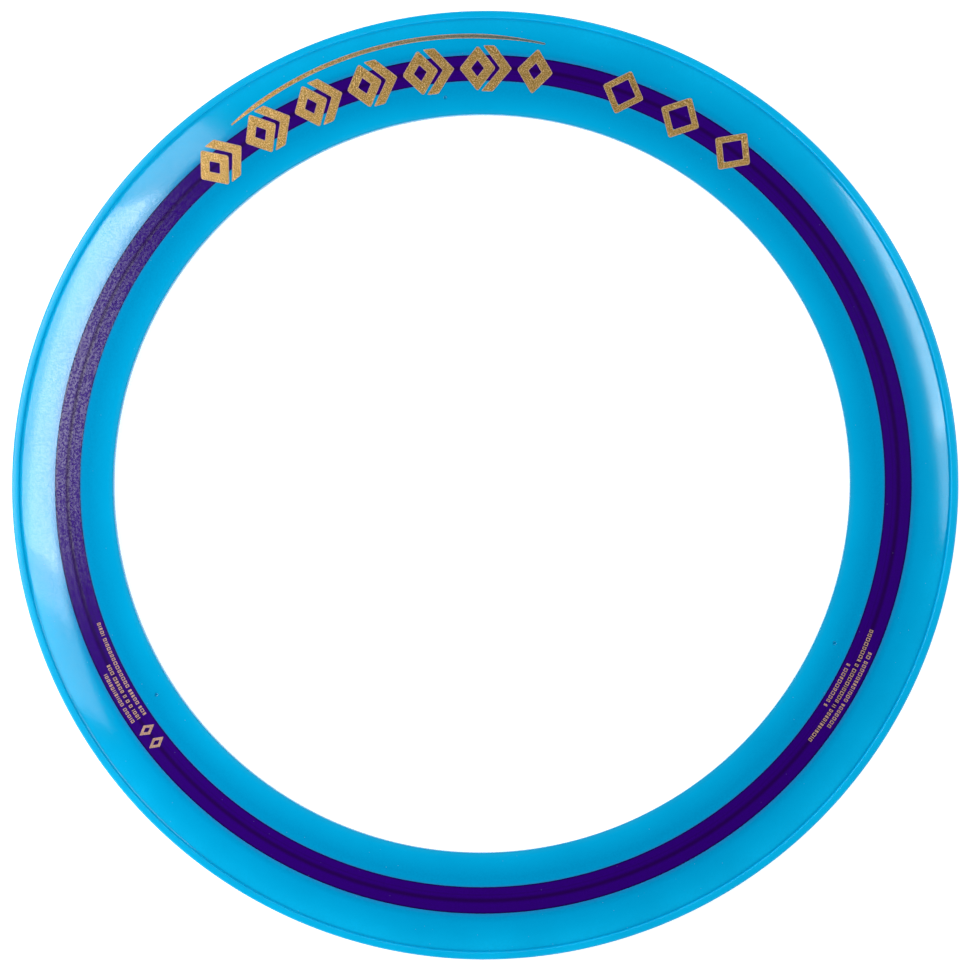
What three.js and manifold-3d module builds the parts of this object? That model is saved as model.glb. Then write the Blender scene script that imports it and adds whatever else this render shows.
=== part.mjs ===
// A flying ring of 13 inches for throwing and catching: a stiff clear-coloured ring carries a soft
// rubber edge on its outside and another round its hole, and hot-stamped foil marks lie on top.
// Millimetres, +Z up. The origin is on the axis, in the plane that the ring lies on.
import * as THREE from 'three';
import { mergeVertices } from 'three/addons/utils/BufferGeometryUtils.js';
import Module from 'manifold-3d';

const wasm = await Module();
wasm.setup();

// ---- Driving dimensions ----
const OUTER_RADIUS = 165.1; // 13 inches across
const HOLE_RADIUS = 128.35;
const BAND_INNER = 140.1; // the stiff ring shows between these two radii
const BAND_OUTER = 149.2;
const CREST = 3.6; // greatest thickness, at the band's inner edge
const BAND_FALL = 0.16; // how much lower the band is at its outer edge
const INNER_SLOPE = 0.026; // slope of the inner rubber beside the band
const INNER_CURVE = 0.0015; // and how fast it steepens towards the hole, per mm
const OUTER_SLOPE = 0.044; // the same for the outer rubber, outwards
const OUTER_CURVE = 0.003;

const VALLEY_RADIUS = 162.4; // the valley just inside the raised rim
const RIM_TOP = 3.0; // height of the rim's flat top
const RIM_INNER_RADIUS = 162.6; // inner wall of the rim
const RIM_INNER_ROUND = 0.35;
const RIM_OUTER_ROUND = 0.7;
const NOSE_ROUND = 0.6; // rounding of the edge of the hole
const RELIEF = 0.15; // the rubber's underside clears the ground by this much
const NOSE_RELIEF = 0.6; // and by this much more at the nose

const TONGUE_LOW = 1.2; // the two buried tongues of the stiff ring
const TONGUE_HIGH = 2.3;
const OUTER_TONGUE_END = 158;
const INNER_TONGUE_END = 133;
const FIT = 0.1; // gap between two pieces moulded against each other

const ANCHORS = 24; // holes in each tongue, which the rubber fills
const ANCHOR_HOLE = 1.5; // radii
const ANCHOR_PLUG = 1.2;
const ANCHOR_SIDES = 8;
const PLUG_LOW = 0.6; // the rubber plugs reach from inside the rubber below the tongue
const PLUG_HIGH = 2.7; // to inside the rubber above it
const OUTER_ANCHOR_CIRCLE = 154;
const INNER_ANCHOR_CIRCLE = 136.8;

const GATE_ANGLES = [-24.4, 94.6, 213.6]; // three moulding gates in the inner rubber, degrees
const GATE_CIRCLE = 134.9;
const GATE_RADIUS = 0.7;
const GATE_DEPTH = 0.4;
const GATE_SIDES = 12;

const GROOVE_RADIUS = 144.7; // one fine groove along the middle of the band
const GROOVE_WIDTH = 0.6;
const GROOVE_DEPTH = 0.12;

const FOIL_LIFT = 0.03; // foil marks lie this far above the moulded surface
const FOIL_THICKNESS = 0.1;
const FOIL_CIRCLE = 144.5; // middle of the row of marks
const FOIL_STROKE = 3.2; // width of the long row's strokes
const WIDE_FOIL_STROKE = 2.2; // and of the short row's
const FOIL_INNER_LIMIT = 132; // no foil lies outside these two radii
const FOIL_OUTER_LIMIT = 161.4;
const MARK_HALF_HEIGHT = 8.1;
const DIAMOND_HALF_WIDTH = 6.4;
const WIDE_DIAMOND_HALF_WIDTH = 7.6;
const CORNER = 1; // corner radius of the marks
const LONG_ROW_START = 129.8; // degrees, anticlockwise from +X; the marks run clockwise
const LONG_ROW_PITCH = 8;
const LONG_ROW_DIAMONDS = 7;
const CHEVRON_ADVANCE = 2.25; // from a diamond to the chevron after it
const SHORT_ROW_START = 69.2;
const SHORT_ROW_PITCH = 8.6;
const SHORT_ROW_DIAMONDS = 3;

const STRIPE_START = 81; // the pinstripe runs between these two angles
const STRIPE_END = 124.5;
const STRIPE_PEAK = 99.5; // where it is farthest out
const STRIPE_CIRCLE = 156.5; // its radius there
const STRIPE_BOW = 0.0056; // how fast it comes inwards on either side, mm per square degree
const STRIPE_WIDTH = 1.6;
const STRIPE_TIP = 0.3; // share of its width that is left at both ends
const STRIPE_GROWTH = [4, 8]; // how fast it widens from each end
const STRIPE_STEPS = 22;

const SEGMENTS = 72; // facets round the ring
const ARC_STEPS = 3; // half the facets of each rounded stretch of a profile
const CROWN_STEPS = 4; // facets across each rubber's top
const CLEAR_OF_ALL = 2 * CREST; // height at which cutters end, above everything

// ---- Finishes ----
const purpleClear = { color: 0x2e0266, roughness: 0.32, metalness: 0 };
const blueRubber = { color: 0x019dd4, roughness: 0.45, metalness: 0 };
const goldFoil = { color: 0xb9913c, roughness: 0.42, metalness: 0.6 };

const ring = new THREE.Group();

// ---- Helpers ----
function addPiece(name, geometry, finish) {
  const mesh = new THREE.Mesh(geometry, new THREE.MeshStandardMaterial(finish));
  mesh.name = name;
  ring.add(mesh);
}

// A closed solid from any closed geometry.
function toSolid(geometry) {
  const bare = geometry.clone();
  bare.deleteAttribute('normal');
  bare.deleteAttribute('uv');
  const welded = mergeVertices(bare);
  return new wasm.Manifold(new wasm.Mesh({
    numProp: 3,
    vertProperties: new Float32Array(welded.attributes.position.array),
    triVerts: new Uint32Array(welded.index.array),
  }));
}

function toGeometry(solid) {
  const mesh = solid.getMesh();
  const geometry = new THREE.BufferGeometry();
  geometry.setAttribute('position', new THREE.BufferAttribute(mesh.vertProperties, 3));
  geometry.setIndex(new THREE.BufferAttribute(mesh.triVerts, 1));
  return geometry;
}

// A profile of radius and height, drawn anticlockwise, turned round the ring's axis.
function turned(profile) {
  const points = [...profile, profile[0].clone()];
  return new THREE.LatheGeometry(points, SEGMENTS).rotateX(Math.PI / 2);
}

function point(radius, height) {
  return new THREE.Vector2(radius, height);
}

// Points of an arc in the profile plane, anticlockwise, angles in degrees.
function arc(centreRadius, centreHeight, size, fromDegrees, toDegrees) {
  const path = new THREE.Path();
  const from = THREE.MathUtils.degToRad(fromDegrees);
  const to = THREE.MathUtils.degToRad(toDegrees);
  path.absarc(centreRadius, centreHeight, size, from, to, false);
  return path.getPoints(ARC_STEPS);
}

// Height of the ring's top at a radius. The three pieces share this one line.
function crown(radius) {
  if (radius < BAND_INNER) {
    const inwards = BAND_INNER - radius;
    return CREST - INNER_SLOPE * inwards - INNER_CURVE * inwards * inwards;
  }
  if (radius < BAND_OUTER) {
    return CREST - BAND_FALL * (radius - BAND_INNER) / (BAND_OUTER - BAND_INNER);
  }
  const outwards = radius - BAND_OUTER;
  return CREST - BAND_FALL - OUTER_SLOPE * outwards - OUTER_CURVE * outwards * outwards;
}

// The top line between two radii, lifted by some amount.
function crownLine(fromRadius, toRadius, lift = 0) {
  const line = [];
  for (let i = 0; i <= CROWN_STEPS; i += 1) {
    const radius = THREE.MathUtils.lerp(fromRadius, toRadius, i / CROWN_STEPS);
    line.push(point(radius, crown(radius) + lift));
  }
  return line;
}

// An upright cylinder at a place on the ring.
function post(circle, degrees, radius, sides, low, high) {
  const angle = THREE.MathUtils.degToRad(degrees);
  const cylinder = new THREE.CylinderGeometry(radius, radius, high - low, sides);
  cylinder.rotateX(Math.PI / 2);
  cylinder.translate(circle * Math.cos(angle), circle * Math.sin(angle), (low + high) / 2);
  return toSolid(cylinder);
}

// One full circle of anchor posts.
function anchorPosts(circle, radius, low, high) {
  const posts = [];
  for (let i = 0; i < ANCHORS; i += 1) {
    const degrees = 360 * (i + 0.5) / ANCHORS;
    posts.push(post(circle, degrees, radius, ANCHOR_SIDES, low, high));
  }
  return posts;
}

// ---- The stiff ring ----
function coreRing() {
  const half = (TONGUE_HIGH - TONGUE_LOW) / 2;
  const middle = (TONGUE_HIGH + TONGUE_LOW) / 2;
  const profile = [
    point(BAND_INNER, 0),
    point(BAND_OUTER, 0),
    point(BAND_OUTER, TONGUE_LOW),
    ...arc(OUTER_TONGUE_END - half, middle, half, -90, 90),
    point(BAND_OUTER, TONGUE_HIGH),
    point(BAND_OUTER, crown(BAND_OUTER)),
    point(GROOVE_RADIUS + GROOVE_WIDTH / 2, crown(GROOVE_RADIUS + GROOVE_WIDTH / 2)),
    point(GROOVE_RADIUS, crown(GROOVE_RADIUS) - GROOVE_DEPTH),
    point(GROOVE_RADIUS - GROOVE_WIDTH / 2, crown(GROOVE_RADIUS - GROOVE_WIDTH / 2)),
    point(BAND_INNER, crown(BAND_INNER)),
    point(BAND_INNER, TONGUE_HIGH),
    ...arc(INNER_TONGUE_END + half, middle, half, 90, 270),
    point(BAND_INNER, TONGUE_LOW),
  ];
  let solid = toSolid(turned(profile));
  const holes = [
    ...anchorPosts(OUTER_ANCHOR_CIRCLE, ANCHOR_HOLE, 0, CLEAR_OF_ALL),
    ...anchorPosts(INNER_ANCHOR_CIRCLE, ANCHOR_HOLE, 0, CLEAR_OF_ALL),
  ];
  for (const hole of holes) {
    solid = solid.subtract(hole);
  }
  return toGeometry(solid);
}

// ---- The soft outer edge, with its raised rim ----
function outerRubberEdge() {
  const wall = BAND_OUTER + FIT;
  const outerCentre = OUTER_RADIUS - RIM_OUTER_ROUND;
  const innerCentre = RIM_INNER_RADIUS + RIM_INNER_ROUND;
  const profile = [
    point(wall, RELIEF),
    point(VALLEY_RADIUS, RELIEF),
    ...arc(outerCentre, RIM_OUTER_ROUND, RIM_OUTER_ROUND, -90, 0),
    ...arc(outerCentre, RIM_TOP - RIM_OUTER_ROUND, RIM_OUTER_ROUND, 0, 90),
    ...arc(innerCentre, RIM_TOP - RIM_INNER_ROUND, RIM_INNER_ROUND, 90, 160),
    ...crownLine(VALLEY_RADIUS, wall),
    point(wall, TONGUE_HIGH + FIT),
    point(OUTER_TONGUE_END + FIT, TONGUE_HIGH + FIT),
    point(OUTER_TONGUE_END + FIT, TONGUE_LOW - FIT),
    point(wall, TONGUE_LOW - FIT),
  ];
  let solid = toSolid(turned(profile));
  for (const plug of anchorPosts(OUTER_ANCHOR_CIRCLE, ANCHOR_PLUG, PLUG_LOW, PLUG_HIGH)) {
    solid = solid.add(plug);
  }
  return toGeometry(solid);
}

// ---- The soft inner edge, round the hole ----
function innerRubberEdge() {
  const wall = BAND_INNER - FIT;
  const noseRadius = HOLE_RADIUS + NOSE_ROUND;
  const noseLow = RELIEF + NOSE_RELIEF;
  const profile = [
    ...arc(noseRadius, crown(noseRadius) - NOSE_ROUND, NOSE_ROUND, 90, 180),
    ...arc(noseRadius, noseLow + NOSE_ROUND, NOSE_ROUND, 180, 270),
    point(INNER_TONGUE_END, RELIEF + NOSE_RELIEF / 2),
    point(wall, RELIEF),
    point(wall, TONGUE_LOW - FIT),
    point(INNER_TONGUE_END - FIT, TONGUE_LOW - FIT),
    point(INNER_TONGUE_END - FIT, TONGUE_HIGH + FIT),
    point(wall, TONGUE_HIGH + FIT),
    ...crownLine(wall, noseRadius).slice(0, -1),
  ];
  let solid = toSolid(turned(profile));
  for (const plug of anchorPosts(INNER_ANCHOR_CIRCLE, ANCHOR_PLUG, PLUG_LOW, PLUG_HIGH)) {
    solid = solid.add(plug);
  }
  const gateFloor = crown(GATE_CIRCLE) - GATE_DEPTH;
  for (const degrees of GATE_ANGLES) {
    const pin = post(GATE_CIRCLE, degrees, GATE_RADIUS, GATE_SIDES, gateFloor, CLEAR_OF_ALL);
    solid = solid.subtract(pin);
  }
  return toGeometry(solid);
}

// ---- Foil marks ----
// The thin layer above the crown that every mark is cut from.
const foilLayer = toSolid(turned([
  ...crownLine(FOIL_INNER_LIMIT, BAND_INNER, FOIL_LIFT),
  ...crownLine(BAND_OUTER, FOIL_OUTER_LIMIT, FOIL_LIFT),
  ...crownLine(FOIL_OUTER_LIMIT, BAND_OUTER, FOIL_LIFT + FOIL_THICKNESS),
  ...crownLine(BAND_INNER, FOIL_INNER_LIMIT, FOIL_LIFT + FOIL_THICKNESS),
]));

// Adds a polygon with rounded corners to a shape or path; x runs along the ring, y outwards.
function roundedPolygon(path, corners, radius) {
  corners.forEach((corner, i) => {
    const before = corners[(i + corners.length - 1) % corners.length];
    const after = corners[(i + 1) % corners.length];
    const from = corner.clone().add(before.clone().sub(corner).setLength(radius));
    const to = corner.clone().add(after.clone().sub(corner).setLength(radius));
    if (i === 0) {
      path.moveTo(from.x, from.y);
    } else {
      path.lineTo(from.x, from.y);
    }
    path.quadraticCurveTo(corner.x, corner.y, to.x, to.y);
  });
  path.closePath();
  return path;
}

function diamondCorners(halfWidth, halfHeight) {
  return [point(halfWidth, 0), point(0, halfHeight), point(-halfWidth, 0), point(0, -halfHeight)];
}

// An outlined diamond whose stroke has the same width all round.
function diamond(halfWidth, stroke) {
  const shape = roundedPolygon(new THREE.Shape(), diamondCorners(halfWidth, MARK_HALF_HEIGHT), CORNER);
  const side = Math.hypot(halfWidth, MARK_HALF_HEIGHT);
  const kept = 1 - stroke * side / (halfWidth * MARK_HALF_HEIGHT);
  const inside = diamondCorners(halfWidth * kept, MARK_HALF_HEIGHT * kept);
  shape.holes.push(roundedPolygon(new THREE.Path(), inside, CORNER / 2));
  return shape;
}

// An arrowhead parallel to a diamond's leading sides.
function chevron() {
  const side = Math.hypot(DIAMOND_HALF_WIDTH, MARK_HALF_HEIGHT);
  const across = FOIL_STROKE * side / MARK_HALF_HEIGHT;
  const corners = [
    point(DIAMOND_HALF_WIDTH, 0),
    point(0, MARK_HALF_HEIGHT),
    point(-across, MARK_HALF_HEIGHT),
    point(DIAMOND_HALF_WIDTH - across, 0),
    point(-across, -MARK_HALF_HEIGHT),
    point(0, -MARK_HALF_HEIGHT),
  ];
  return roundedPolygon(new THREE.Shape(), corners, CORNER / 2);
}

// Stands a flat outline on its place in the row and keeps what lies in the foil layer.
function foilMark(name, shape, degrees) {
  const settings = { depth: CLEAR_OF_ALL, bevelEnabled: false, curveSegments: 2 };
  const prism = new THREE.ExtrudeGeometry(shape, settings);
  prism.translate(0, FOIL_CIRCLE, 0);
  prism.rotateZ(THREE.MathUtils.degToRad(degrees - 90));
  addPiece(name, toGeometry(toSolid(prism).intersect(foilLayer)), goldFoil);
}

// A point beside the pinstripe's path; side is -1 at its inner edge and 1 at its outer edge.
function stripePoint(share, side) {
  const degrees = THREE.MathUtils.lerp(STRIPE_START, STRIPE_END, share);
  const angle = THREE.MathUtils.degToRad(degrees);
  const [atStart, atEnd] = STRIPE_GROWTH;
  const taper = Math.min(1, STRIPE_TIP + atStart * share, STRIPE_TIP + atEnd * (1 - share));
  const circle = STRIPE_CIRCLE - STRIPE_BOW * (degrees - STRIPE_PEAK) ** 2;
  const radius = circle + side * taper * STRIPE_WIDTH / 2;
  return point(radius * Math.cos(angle), radius * Math.sin(angle));
}

// A long bowed stripe outside the long row, narrower at both ends.
function pinstripe(name) {
  const outer = [];
  const inner = [];
  for (let i = 0; i <= STRIPE_STEPS; i += 1) {
    outer.push(stripePoint(i / STRIPE_STEPS, 1));
    inner.push(stripePoint(i / STRIPE_STEPS, -1));
  }
  const shape = new THREE.Shape([...outer, ...inner.reverse()]);
  const prism = new THREE.ExtrudeGeometry(shape, { depth: CLEAR_OF_ALL, bevelEnabled: false });
  addPiece(name, toGeometry(toSolid(prism).intersect(foilLayer)), goldFoil);
}

// ---- Assembly ----
addPiece('core_ring', coreRing(), purpleClear);
addPiece('outer_rubber_edge', outerRubberEdge(), blueRubber);
addPiece('inner_rubber_edge', innerRubberEdge(), blueRubber);

for (let i = 0; i < LONG_ROW_DIAMONDS; i += 1) {
  const degrees = LONG_ROW_START - i * LONG_ROW_PITCH;
  foilMark(`foil_diamond_${i + 1}`, diamond(DIAMOND_HALF_WIDTH, FOIL_STROKE), degrees);
  if (i < LONG_ROW_DIAMONDS - 1) {
    foilMark(`foil_chevron_${i + 1}`, chevron(), degrees - CHEVRON_ADVANCE);
  }
}
for (let i = 0; i < SHORT_ROW_DIAMONDS; i += 1) {
  const degrees = SHORT_ROW_START - i * SHORT_ROW_PITCH;
  foilMark(`foil_wide_diamond_${i + 1}`, diamond(WIDE_DIAMOND_HALF_WIDTH, WIDE_FOIL_STROKE), degrees);
}
pinstripe('foil_pinstripe');

export default ring;
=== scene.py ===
"""Looks of a soft-edged flying ring: a stiff purple core, two blue rubber edges and gold foil marks.

Laid out as an add-on with one operator for each piece and a panel that lists them. Run as a script
it builds everything in order. Metres, +Z up; the ring lies on z = 0 with its axis on the origin.
"""

import math
import random

import bpy
from bpy.props import FloatProperty, FloatVectorProperty, IntProperty, PointerProperty
from mathutils import Matrix, Vector


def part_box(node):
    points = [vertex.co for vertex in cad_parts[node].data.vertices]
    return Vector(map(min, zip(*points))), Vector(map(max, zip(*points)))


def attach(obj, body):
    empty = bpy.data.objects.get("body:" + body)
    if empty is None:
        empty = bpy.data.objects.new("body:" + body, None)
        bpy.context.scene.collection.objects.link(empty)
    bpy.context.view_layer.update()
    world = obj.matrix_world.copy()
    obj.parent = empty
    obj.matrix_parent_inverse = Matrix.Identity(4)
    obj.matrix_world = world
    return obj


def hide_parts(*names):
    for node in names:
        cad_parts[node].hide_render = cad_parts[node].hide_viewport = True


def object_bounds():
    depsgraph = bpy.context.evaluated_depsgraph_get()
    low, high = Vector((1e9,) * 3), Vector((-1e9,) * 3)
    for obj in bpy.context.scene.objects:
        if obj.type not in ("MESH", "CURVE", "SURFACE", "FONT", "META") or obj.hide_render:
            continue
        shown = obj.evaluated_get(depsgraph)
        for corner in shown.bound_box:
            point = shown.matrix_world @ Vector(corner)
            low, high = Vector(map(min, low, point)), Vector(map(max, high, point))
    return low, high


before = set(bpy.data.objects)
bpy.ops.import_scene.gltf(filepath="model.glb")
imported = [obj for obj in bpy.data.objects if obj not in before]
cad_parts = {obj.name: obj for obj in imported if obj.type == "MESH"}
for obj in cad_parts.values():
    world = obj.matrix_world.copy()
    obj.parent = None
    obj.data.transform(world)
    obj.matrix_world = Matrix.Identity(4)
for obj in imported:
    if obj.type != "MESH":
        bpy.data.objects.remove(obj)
CAD_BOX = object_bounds()

bl_info = {
    "name": "Flying Ring",
    "version": (1, 0, 0),
    "blender": (4, 5, 0),
    "location": "View3D > Sidebar > Flying Ring",
    "description": "Models a soft-edged flying ring, its foil marks and a plain studio",
    "category": "Add Mesh",
}

MM = 0.001
FULL_TURN = 2 * math.pi
BODY = "root"
OUTER_RADIUS = CAD_BOX[1].x


# ---- Sizes and colours that a user would change ----
def length(name, description, millimetres):
    """A length property; the default is given in millimetres."""
    return FloatProperty(name=name, description=description, default=millimetres * MM,
                         unit="LENGTH", precision=5)


def linear(channel):
    """One sRGB channel from 0 to 255 as a linear value."""
    share = channel / 255
    return share / 12.92 if share <= 0.04045 else ((share + 0.055) / 1.055) ** 2.4


def colour(name, description, red, green, blue):
    """A colour property; the default is given as sRGB from 0 to 255."""
    return FloatVectorProperty(name=name, description=description, subtype="COLOR", size=3,
                               min=0, max=1, default=tuple(map(linear, (red, green, blue))))


class RingSizes(bpy.types.PropertyGroup):
    """Sizes of the ring's section and of the marks on it."""

    hole_radius: length("Hole radius", "Radius of the open centre", 128.35)
    band_inner: length("Band inner radius", "Where the inner rubber meets the core", 140.1)
    band_outer: length("Band outer radius", "Where the outer rubber meets the core", 149.2)
    crest: length("Crest", "Greatest thickness, at the band's inner edge", 3.6)
    band_fall: length("Band fall", "How much lower the band's outer edge is", 0.16)
    valley_radius: length("Valley radius", "The valley just inside the raised rim", 162.4)
    rim_top: length("Rim top", "Height of the raised rim", 3.0)
    rim_inner_radius: length("Rim inner radius", "Inner wall of the raised rim", 162.6)
    rim_inner_round: length("Rim inner round", "Rounding of the rim's inner corner", 0.35)
    rim_outer_round: length("Rim outer round", "Rounding of the rim's outer corners", 0.7)
    nose_round: length("Nose round", "Rounding of the edge of the hole", 0.4)
    relief: length("Relief", "Gap under the rubber when the ring lies flat", 0.15)
    seam: length("Seam", "Width of the fine line where rubber meets core", 0.04)
    groove_radius: length("Groove radius", "The deepest moulded line of the band", 144.7)
    groove_depth: length("Groove depth", "Depth of that line", 0.006)
    side_line_offset: length("Side line offset", "From that line to a fainter one on each side", 2.2)
    side_line_depth: length("Side line depth", "Depth of the fainter lines", 0.003)
    foil_stroke: length("Foil stroke", "Width of the long row's strokes", 3.2)
    wide_foil_stroke: length("Wide foil stroke", "Width of the short row's strokes", 2.2)
    foil_edge_width: length("Foil edge", "Width of the pale edge of the foil marks", 0.22)
    foil_lift: length("Foil lift", "How far the foil stands off the mouldings", 0.02)
    foil_thickness: length("Foil thickness", "Thickness of the foil", 0.08)
    mark_half_height: length("Mark half height", "Half the height of a foil mark", 8.1)
    turn_steps: IntProperty(name="Turn steps", description="Facets round the ring",
                            default=360, min=72, max=720)


class RingColours(bpy.types.PropertyGroup):
    """Colours of the ring's finishes."""

    rubber: colour("Rubber", "Blue rubber over the middle of each edge", 0, 160, 215)
    # Painted glow: light coming through thin rubber, painted in as a lighter blue; also the tint of the
    # lighter grain spots
    rubber_glow_and_grain: colour("Thin rubber", "Rubber where it thins and lets light in", 1, 170, 224)
    # Painted glow: light through the thin rubber round the hole, painted in as a paler blue
    rubber_nose_glow: colour("Nose rubber", "Rubber round the hole", 24, 171, 221)
    rubber_lip: colour("Lip rubber", "Darker line on the outermost and innermost edges", 0, 128, 172)
    rubber_deep: colour("Deep rubber", "Rubber beside the core", 0, 147, 201)
    rubber_seam: colour("Seam rubber", "Thin rubber with the core showing through", 34, 122, 186)
    # Painted shade: the valley inside the rim gets a darker blue than the rim beside it
    rubber_valley_shade: colour("Valley rubber", "Rubber in the valley inside the rim", 2, 176, 228)
    rubber_rim: colour("Rim rubber", "Rubber of the raised rim", 8, 183, 237)
    core: colour("Core", "Purple of the stiff core", 46, 2, 116)
    core_line: colour("Core line", "The darker moulded lines of the core", 36, 3, 78)
    core_edge: colour("Core edge", "The core's edges, under the rubber's blue", 18, 4, 78)
    gold: colour("Gold", "Foil of the large marks", 214, 168, 84)
    gold_dull: colour("Dull gold", "Darker patches of the foil", 156, 121, 62)
    gold_bright: colour("Bright gold", "Bright flecks of the foil", 252, 218, 156)
    foil_faded: colour("Faded foil", "The worn end of the pinstripe", 84, 132, 140)
    foil_edge: colour("Foil edge", "Pale edge of every foil mark", 206, 170, 140)
    fine_print: colour("Fine print", "Pinkish gold of the small marks", 190, 150, 130)
    floor: colour("Floor", "The studio floor", 244, 244, 244)


def sizes():
    """The scene's ring sizes."""
    return bpy.context.scene.ring_sizes


def colours():
    """The scene's ring colours."""
    return bpy.context.scene.ring_colours


# ---- The section of the ring ----
INNER_SLOPE = 0.026  # slope of the inner rubber beside the band
INNER_CURVE = 1.5  # how fast it steepens towards the hole, per metre
OUTER_SLOPE = 0.044  # the same for the outer rubber, outwards
OUTER_CURVE = 3.0
TONGUE_LOW, TONGUE_HIGH = 1.2 * MM, 2.3 * MM  # heights of the buried tongues' faces
OUTER_TONGUE_END, INNER_TONGUE_END = 158 * MM, 133 * MM  # radii that they reach
FIT = 0.1 * MM  # gap round the buried tongues
WALL_GAP = 0.01 * MM  # gap between the rubber and the core's edges
VALLEY_STEP = 0.16 * MM  # spacing of the points that round the top down into the valley
VALLEY_DROPS = (0.095, 0.072, 0.046, 0.022, 0.006)  # millimetres below the crown at those points
FLASH_OUT, FLASH_HALF = 0.04 * MM, 0.1 * MM  # how far the mould's parting line stands out, half its height
NOSE_RELIEF = 0.6 * MM  # the rubber lifts off the ground by this much more at the hole
GROOVE_HALF, SIDE_LINE_HALF = 0.9 * MM, 0.8 * MM  # half the widths of the band's moulded lines


def crown(radius):
    """Height of the ring's top at a radius."""
    s = sizes()
    if radius < s.band_inner:
        inwards = s.band_inner - radius
        return s.crest - INNER_SLOPE * inwards - INNER_CURVE * inwards * inwards
    if radius < s.band_outer:
        return s.crest - s.band_fall * (radius - s.band_inner) / (s.band_outer - s.band_inner)
    outwards = radius - s.band_outer
    return s.crest - s.band_fall - OUTER_SLOPE * outwards - OUTER_CURVE * outwards * outwards


def crown_line(start, end, steps):
    """Points of the top line between two radii."""
    radii = [start + (end - start) * i / steps for i in range(steps + 1)]
    return [(r, crown(r)) for r in radii]


def arc(radius, height, size, start, end, steps):
    """Points of an arc in the section, angles in degrees."""
    angles = [math.radians(start + (end - start) * i / steps) for i in range(steps + 1)]
    return [(radius + size * math.cos(a), height + size * math.sin(a)) for a in angles]


# ---- Modelling helpers ----
TOUCHING = 0.001 * MM  # points this near to each other are one point


def deselect():
    """Nothing is selected, and no object is in edit mode."""
    if bpy.context.object and bpy.context.object.mode == "EDIT":
        bpy.ops.object.mode_set(mode="OBJECT")
    bpy.ops.object.select_all(action="DESELECT")


def pick(piece):
    """Only this piece is selected, and it is active."""
    deselect()
    piece.select_set(True)
    bpy.context.view_layer.objects.active = piece


def settle(piece):
    """The piece's place goes into its mesh, and its origin to the ring's axis."""
    pick(piece)
    bpy.ops.object.transform_apply(location=True, rotation=True, scale=True)


def draw_line(name, points):
    """A new mesh with one line of edges, extruded point by point from one vertex."""
    deselect()
    bpy.ops.mesh.primitive_plane_add(size=MM, location=points[0])
    piece = bpy.context.object
    piece.name = piece.data.name = name
    settle(piece)
    bpy.ops.object.mode_set(mode="EDIT")
    bpy.ops.mesh.select_all(action="SELECT")
    bpy.ops.mesh.merge(type="CENTER")
    for here, there in zip(points, points[1:]):
        step = {"value": tuple(b - a for a, b in zip(here, there))}
        bpy.ops.mesh.extrude_region_move(TRANSFORM_OT_translate=step)
    return piece


def draw_section(name, points):
    """A line in the ring's section, from points given as radius and height."""
    return draw_line(name, [(radius, 0, height) for radius, height in points])


def turn_section(crease=30):
    """Spins the open piece's line of edges round the axis into a closed, smooth ring."""
    bpy.ops.mesh.select_all(action="SELECT")
    bpy.ops.mesh.remove_doubles(threshold=TOUCHING)
    bpy.ops.mesh.spin(steps=sizes().turn_steps, angle=FULL_TURN, center=(0, 0, 0), axis=(0, 0, 1))
    bpy.ops.mesh.select_all(action="SELECT")
    bpy.ops.mesh.remove_doubles(threshold=TOUCHING)
    bpy.ops.mesh.normals_make_consistent(inside=False)
    bpy.ops.object.mode_set(mode="OBJECT")
    bpy.ops.object.shade_smooth_by_angle(angle=math.radians(crease))


def turned_ring(name, points, crease=30):
    """A ring with this closed section."""
    piece = draw_section(name, points + points[:1])
    turn_section(crease)
    return piece


def cut(piece, cutters):
    """Takes the cutters away from the piece."""
    for cutter in cutters:
        pick(piece)
        modifier = piece.modifiers.new("cut", "BOOLEAN")
        modifier.operation = "DIFFERENCE"
        modifier.object = cutter
        bpy.ops.object.modifier_apply(modifier="cut")
        pick(cutter)
        bpy.ops.object.delete()
    pick(piece)


def finish_piece(piece, slot, *materials):
    """Gives the piece its finishes and says what it rides on."""
    piece.data.materials.clear()
    for material in materials:
        piece.data.materials.append(material)
    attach(piece, BODY)


# ---- Node helpers ----
class Nodes:
    """Short calls for adding and joining nodes in one tree."""

    def __init__(self, tree):
        self.tree = tree

    def add(self, kind, values=None, **settings):
        """Adds a node; values are for its inputs: numbers and colours are set, sockets linked."""
        node = self.tree.nodes.new(kind)
        for name, value in settings.items():
            setattr(node, name, value)
        for key, value in (values or {}).items():
            self.feed(value, node.inputs[key])
        return node

    def feed(self, value, socket):
        """Gives a socket a number or a colour, or links another socket to it."""
        if isinstance(value, bpy.types.NodeSocket):
            self.tree.links.new(value, socket)
        elif socket.type == "RGBA":
            socket.default_value = (*value, 1)
        else:
            socket.default_value = value

    def math(self, operation, first, second=0.0):
        """The result of a Math node."""
        return self.add("ShaderNodeMath", {0: first, 1: second}, operation=operation).outputs[0]

    def blend(self, factor, first, second):
        """A colour mixed from two."""
        values = {0: factor, 6: first, 7: second}
        return self.add("ShaderNodeMix", values, data_type="RGBA").outputs[2]

    def spread(self, value, low, high, to_low=0.0, to_high=1.0):
        """A value mapped from one range to another, and held inside it."""
        values = {"Value": value, "From Min": low, "From Max": high,
                  "To Min": to_low, "To Max": to_high}
        return self.add("ShaderNodeMapRange", values).outputs["Result"]

    def group(self, tree, values=None):
        """A shader node group placed in this tree."""
        return self.add("ShaderNodeGroup", values, node_tree=tree)


def new_group(name, inputs, outputs):
    """An empty shader node group with named number sockets."""
    tree = bpy.data.node_groups.new(name, "ShaderNodeTree")
    for label, default in inputs.items():
        socket = tree.interface.new_socket(label, in_out="INPUT", socket_type="NodeSocketFloat")
        socket.default_value = default
    for label in outputs:
        tree.interface.new_socket(label, in_out="OUTPUT", socket_type="NodeSocketFloat")
    start = tree.nodes.new("NodeGroupInput")
    end = tree.nodes.new("NodeGroupOutput")
    return tree, Nodes(tree), start, end


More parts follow.
